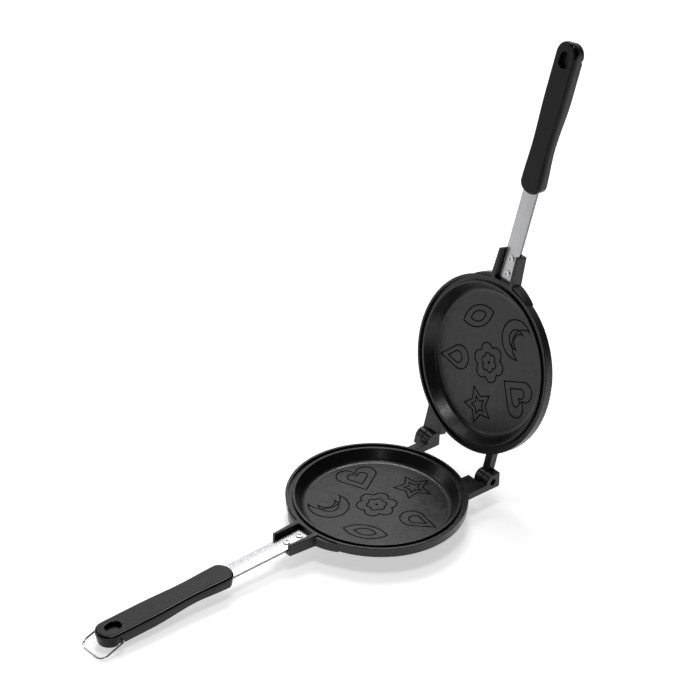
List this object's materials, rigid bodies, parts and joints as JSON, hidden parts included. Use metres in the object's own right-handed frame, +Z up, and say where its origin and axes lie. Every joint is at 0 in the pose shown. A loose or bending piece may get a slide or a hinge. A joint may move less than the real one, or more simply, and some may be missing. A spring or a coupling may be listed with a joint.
{
  "type": "pancake maker",
  "caption": "Two round hinged pans with engraved cavities, steel straps, plastic grips and a wire bail, standing open on a base ring.",
  "frame": {"origin": "centre of the lower base ring, in the plane that it stands on", "axes": "+Z up, the lower handle points to -Y and the hinge is at +Y; +X is to the right seen from the handle's end"},
  "size_m": [0.1599, 0.5193, 0.4077],
  "materials": {
    "coated_casting": "dark grey non-stick coating, satin",
    "strap_steel": "fine brushed along its length",
    "grip_plastic": "black heat-proof plastic, satin faces and polished edges",
    "screw_steel": "turned and plated",
    "bail_wire": "polished wire"
  },
  "bodies": {
    "lower_half": {"lower_pan": "coated_casting", "lower_strap": "strap_steel", "lower_grip_face": "grip_plastic", "lower_grip_back": "grip_plastic", "lower_strap_screw_1": "screw_steel", "lower_strap_screw_2": "screw_steel", "lower_grip_screw_1": "screw_steel", "lower_grip_screw_2": "screw_steel", "hinge_pin_right": "screw_steel"},
    "upper_half": {"upper_pan": "coated_casting", "upper_strap": "strap_steel", "upper_grip_face": "grip_plastic", "upper_grip_back": "grip_plastic", "upper_strap_screw_1": "screw_steel", "upper_strap_screw_2": "screw_steel", "upper_grip_screw_1": "screw_steel", "upper_grip_screw_2": "screw_steel", "hinge_pin_left": "screw_steel"},
    "bail_loop": {"bail": "bail_wire"}
  },
  "joints": [
    {"name": "lid_hinge", "type": "hinge", "parent": "lower_half", "child": "upper_half", "pos_m": [0, 0.09275, 0.026], "axis": [1, 0, 0], "range_deg": [0, 103.8]},
    {"name": "bail_hinge", "type": "hinge", "parent": "lower_half", "child": "bail_loop", "pos_m": [0, -0.28628, 0.0101], "axis": [-1, 0, 0], "range_deg": [0, 178]}
  ]
}
